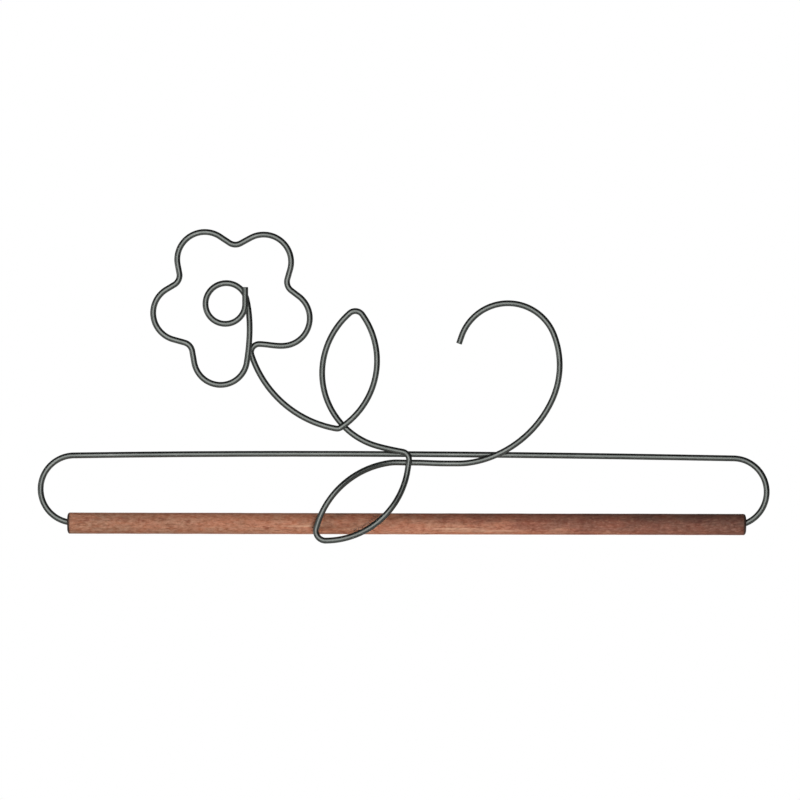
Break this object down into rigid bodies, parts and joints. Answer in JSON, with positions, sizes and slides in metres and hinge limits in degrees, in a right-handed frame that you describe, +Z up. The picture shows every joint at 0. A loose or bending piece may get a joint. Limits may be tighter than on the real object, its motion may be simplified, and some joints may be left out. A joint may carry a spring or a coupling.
{
  "type": "quilt hanger",
  "caption": "Wall hanger for a small quilt: a bowed wire with a bent wire flower, leaves and curl, sprung into a turned wooden dowel",
  "frame": {"origin": "the point where a wall nail carries the hanger: the underside of the ornament's wire in the top corner of the lower leaf, at the middle of the bow and in the plane of its wire", "axes": "+X along the dowel to the right as seen from the front, +Y back towards the wall, +Z up"},
  "size_m": [0.3286, 0.0142, 0.1409],
  "materials": {
    "pewter_paint": "satin grey paint on steel wire",
    "stained_wood": "red brown stain, unvarnished, eased ends"
  },
  "bodies": {
    "frame": {"bow": "pewter_paint", "ornament": "pewter_paint"},
    "dowel": {"dowel": "stained_wood"}
  },
  "joints": [
    {"name": "dowel_spin", "type": "hinge", "parent": "frame", "child": "dowel", "pos_m": [0.0014, 0, -0.02616], "axis": [1, 0, 0], "continuous": true}
  ]
}
